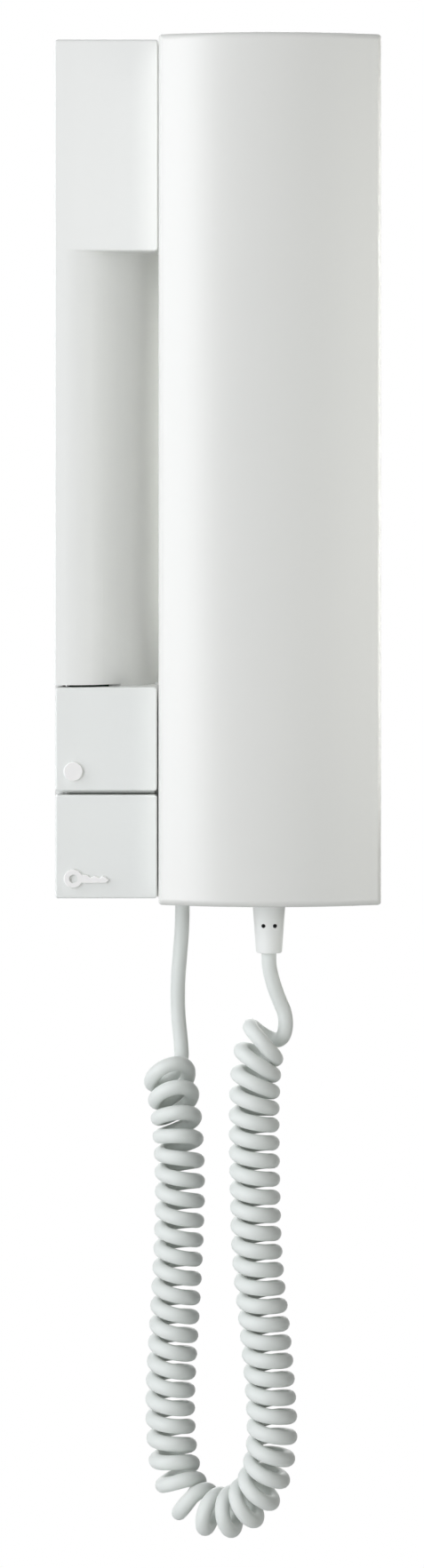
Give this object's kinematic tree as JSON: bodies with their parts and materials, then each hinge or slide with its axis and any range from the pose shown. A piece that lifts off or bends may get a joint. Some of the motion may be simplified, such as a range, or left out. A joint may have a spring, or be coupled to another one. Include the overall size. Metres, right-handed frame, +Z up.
{
  "type": "wall-mounted handset station",
  "caption": "Wall phone of the door-entry kind: slim base with finger scoop and square push plates, wide lift-off handset and a curly cord.",
  "frame": {"origin": "on the wall plane, midway between the two wall screws, at the base's centre height", "axes": "+X to the right seen from the front, +Y into the wall, +Z up; the front faces -Y"},
  "size_m": [0.0825, 0.0466, 0.3822],
  "materials": {
    "cover_plastic": "smooth white ABS, satin gloss",
    "handset_plastic": "smooth white ABS, satin gloss",
    "button_plastic": "smooth white ABS, a shade darker",
    "plate_plastic": "moulded white ABS, fine texture",
    "cord_sheath": "soft white PVC, low sheen",
    "lead_sheath": "thin coloured PVC",
    "board_laminate": "glass-epoxy laminate with solder resist",
    "black_plastic": "moulded black",
    "plunger_plastic": "moulded natural nylon",
    "terminal_plastic": "moulded green",
    "connector_plastic": "moulded natural nylon",
    "capsule_plastic": "moulded dark grey",
    "seal_rubber": "soft black foam rubber",
    "screw_steel": "zinc plated",
    "spring_steel": "drawn wire",
    "speaker_metal": "plated sheet",
    "capacitor_can": "sleeved can",
    "terminal_brass": "nickel plated brass"
  },
  "bodies": {
    "base": {"front_cover": "cover_plastic", "wall_plate": "plate_plastic", "cover_screw": "screw_steel", "circuit_board": "board_laminate", "board_screws": "screw_steel", "terminal_block": "terminal_plastic", "terminal_screws": "terminal_brass", "call_speaker": "speaker_metal", "capacitors": "capacitor_can", "audio_chip": "black_plastic", "lead_connector": "connector_plastic", "hook_lever_pin": "screw_steel", "hook_switch": "black_plastic", "base_grommet": "cord_sheath", "base_cord_end": "cord_sheath", "base_cord_clamp": "plate_plastic", "base_clamp_screw": "screw_steel", "base_leads": "lead_sheath", "upper_switch": "black_plastic", "lower_switch": "black_plastic", "upper_button_spring": "spring_steel", "lower_button_spring": "spring_steel", "base_cord_tail": "cord_sheath", "curly_cord": "cord_sheath"},
    "handset": {"handset_front_shell": "handset_plastic", "handset_rear_shell": "handset_plastic", "handset_screws": "screw_steel", "earpiece_gasket": "seal_rubber", "earpiece_capsule": "capsule_plastic", "microphone_boot": "seal_rubber", "microphone_capsule": "speaker_metal", "cord_bush": "cord_sheath", "handset_cord_end": "cord_sheath", "handset_leads": "lead_sheath", "handset_cord_tail": "cord_sheath"},
    "upper_button": {"upper_button": "button_plastic", "upper_switch_plunger": "plunger_plastic"},
    "lower_button": {"lower_button": "button_plastic", "lower_switch_plunger": "plunger_plastic"},
    "hook_lever": {"hook_lever": "plate_plastic", "hook_lever_spring": "spring_steel", "hook_switch_plunger": "plunger_plastic"}
  },
  "joints": [
    {"name": "handset_lift", "type": "slide", "parent": "base", "child": "handset", "axis": [0, -0.7071, 0.7071], "range_m": [0, 0.06]},
    {"name": "upper_button_press", "type": "slide", "parent": "base", "child": "upper_button", "axis": [0, 1, 0], "range_m": [0, 0.0015], "stiffness_N_per_m": 400, "springref_m": -0.001, "deforming": ["upper_button_spring"]},
    {"name": "lower_button_press", "type": "slide", "parent": "base", "child": "lower_button", "axis": [0, 1, 0], "range_m": [0, 0.0015], "stiffness_N_per_m": 400, "springref_m": -0.001, "deforming": ["lower_button_spring"]},
    {"name": "hook_lever_turn", "type": "hinge", "parent": "base", "child": "hook_lever", "pos_m": [0.01318, -0.0056, -0.05], "axis": [-1, 0, 0], "range_deg": [0, 10], "stiffness_Nm_per_rad": 0.00015, "springref_deg": 22.92}
  ],
  "couplings": [
    {"joint": "hook_lever_turn", "follows": "handset_lift", "rad_per_m": 2.9}
  ]
}
